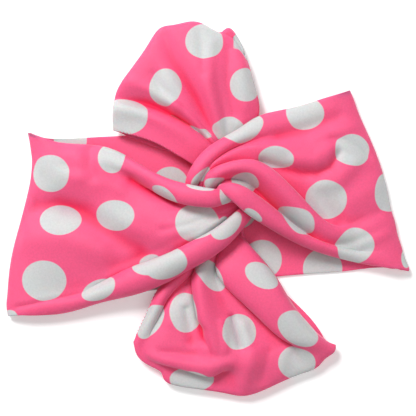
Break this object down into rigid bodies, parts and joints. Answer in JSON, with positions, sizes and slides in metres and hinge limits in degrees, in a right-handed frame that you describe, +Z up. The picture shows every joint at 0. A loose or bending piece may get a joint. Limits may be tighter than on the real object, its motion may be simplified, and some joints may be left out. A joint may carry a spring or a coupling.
{
  "type": "headband",
  "caption": "Wide soft knit headband laid flat: a loop of doubled cloth hooked into a twist knot at the front, with a bow held under the knot.",
  "frame": {"origin": "on the outer face of the back of the loop, straight under the middle of the knot", "axes": "+X along the band, +Y across the band towards the smaller lobe of the bow, +Z up through the knot, away from the surface it lies on"},
  "size_m": [0.2433, 0.2308, 0.0344],
  "materials": {
    "dotted_knit": "brushed knit, pink with large pale dots",
    "thread": "pink sewing thread"
  },
  "bodies": {
    "band": {"left_back_panel": "dotted_knit", "right_back_panel": "dotted_knit", "left_front_panel": "dotted_knit", "right_front_panel": "dotted_knit", "left_knot_bight": "dotted_knit", "right_knot_bight": "dotted_knit", "bow_waist": "dotted_knit", "closing_seam_stitches": "thread", "left_tube_seam_stitches": "thread", "right_tube_seam_stitches": "thread", "knot_tack_stitches": "thread"},
    "top_lobe_body": {"top_lobe": "dotted_knit", "top_lobe_overlock": "thread"},
    "bottom_lobe_body": {"bottom_lobe": "dotted_knit", "bottom_lobe_overlock": "thread"}
  },
  "joints": [
    {"name": "top_lobe_lift", "type": "hinge", "parent": "band", "child": "top_lobe_body", "pos_m": [0.0075, 0.0333, 0.0085], "axis": [0.8988, 0.4384, 0], "range_deg": [0, 60]},
    {"name": "bottom_lobe_lift", "type": "hinge", "parent": "band", "child": "bottom_lobe_body", "pos_m": [-0.0075, -0.0443, 0.0085], "axis": [-0.866, -0.5, 0], "range_deg": [0, 60]}
  ]
}
